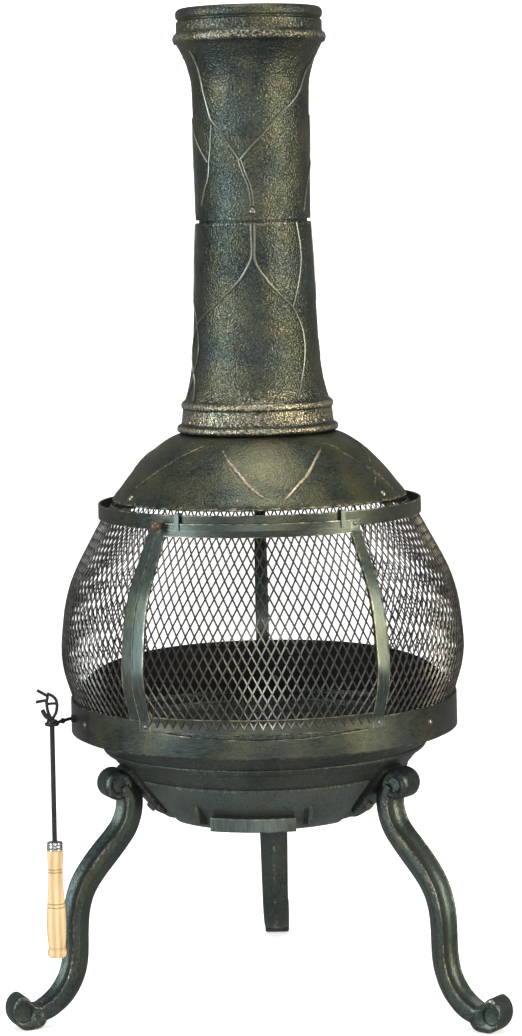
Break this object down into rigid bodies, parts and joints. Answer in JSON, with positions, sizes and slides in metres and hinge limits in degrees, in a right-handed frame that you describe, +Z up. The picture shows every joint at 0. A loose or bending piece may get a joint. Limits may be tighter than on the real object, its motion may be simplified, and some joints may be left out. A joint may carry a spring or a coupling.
{
  "type": "chiminea",
  "caption": "Free-standing garden chiminea: fire bowl on cabriole legs, expanded-metal fire cage with sliding door, dome, two-piece stack, and a poker hanging from a hook.",
  "frame": {"origin": "centre of the bounding box on the floor; the stack's own axis stands 15.4 mm to +X and 40.8 mm to -Y of it, since the three feet are not symmetric about the stack", "axes": "+Z up along the stack, -Y the front with the door, +X to the right as seen from the front"},
  "size_m": [0.5637, 0.5566, 1.14],
  "materials": {
    "fire_bowl": "dark green-black cast metal with rubbed bronze edges",
    "ring_band": "dark teal sheet with faint brushing",
    "ash_guard": "matt black sheet",
    "left_screen": "black expanded metal",
    "right_screen": "black expanded metal",
    "left_post": "dark teal strap, worn edges",
    "right_post": "dark teal strap, worn edges",
    "rear_post": "dark teal strap, worn edges",
    "top_hoop": "dark teal strap, worn edges",
    "dome": "dark metal with bronze-brushed ribs",
    "dome_brackets": "dark teal strap, worn edges",
    "lower_stack": "hammered dark metal with bronze-brushed vines",
    "upper_stack": "hammered dark metal with bronze-brushed vines",
    "leg_left": "dark cast metal, worn bronze edges",
    "leg_right": "dark cast metal, worn bronze edges",
    "leg_rear": "dark cast metal, worn bronze edges",
    "leg_bolts": "zinc-plated steel",
    "leg_studs": "zinc-plated steel",
    "leg_nuts": "zinc-plated steel",
    "ring_screws": "zinc-plated steel",
    "ring_nuts": "zinc-plated steel",
    "dome_screws": "zinc-plated steel",
    "collar_screws": "zinc-plated steel",
    "stack_screws": "zinc-plated steel",
    "poker_hook": "black-painted bar",
    "hook_nuts": "zinc-plated steel",
    "door_left_stile": "dark teal strap, worn edges",
    "door_right_stile": "dark teal strap, worn edges",
    "door_bottom_rail": "dark teal strap, worn edges",
    "door_top_rail": "dark teal strap, worn edges",
    "door_mesh": "black expanded metal",
    "door_hooks": "dark teal strap, worn edges",
    "door_rivets": "zinc-plated steel",
    "door_pull": "brown lacquered knob",
    "poker_rod": "black-painted bar",
    "poker_handle": "pale turned pine",
    "poker_ferrule": "plain bright steel",
    "log_grate": "black-painted bar"
  },
  "bodies": {
    "stand": {"fire_bowl": "fire_bowl", "ring_band": "ring_band", "ash_guard": "ash_guard", "left_screen": "left_screen", "right_screen": "right_screen", "left_post": "left_post", "right_post": "right_post", "rear_post": "rear_post", "top_hoop": "top_hoop", "dome": "dome", "dome_brackets": "dome_brackets", "lower_stack": "lower_stack", "upper_stack": "upper_stack", "leg_left": "leg_left", "leg_right": "leg_right", "leg_rear": "leg_rear", "leg_bolts": "leg_bolts", "leg_studs": "leg_studs", "leg_nuts": "leg_nuts", "ring_screws": "ring_screws", "ring_nuts": "ring_nuts", "dome_screws": "dome_screws", "collar_screws": "collar_screws", "stack_screws": "stack_screws", "poker_hook": "poker_hook", "hook_nuts": "hook_nuts"},
    "door": {"door_left_stile": "door_left_stile", "door_right_stile": "door_right_stile", "door_bottom_rail": "door_bottom_rail", "door_top_rail": "door_top_rail", "door_mesh": "door_mesh", "door_hooks": "door_hooks", "door_rivets": "door_rivets", "door_pull": "door_pull"},
    "poker": {"poker_rod": "poker_rod", "poker_handle": "poker_handle", "poker_ferrule": "poker_ferrule"},
    "grate": {"log_grate": "log_grate"}
  },
  "joints": [
    {"name": "door_slide", "type": "hinge", "parent": "stand", "child": "door", "pos_m": [0.0154, -0.0408, 0.45], "axis": [0, 0, 1], "range_deg": [0, 75]},
    {"name": "poker_lift", "type": "slide", "parent": "stand", "child": "poker", "axis": [0, 0, 1], "range_m": [0, 0.12]},
    {"name": "grate_lift", "type": "slide", "parent": "stand", "child": "grate", "axis": [0, 0, 1], "range_m": [0, 0.05]}
  ]
}
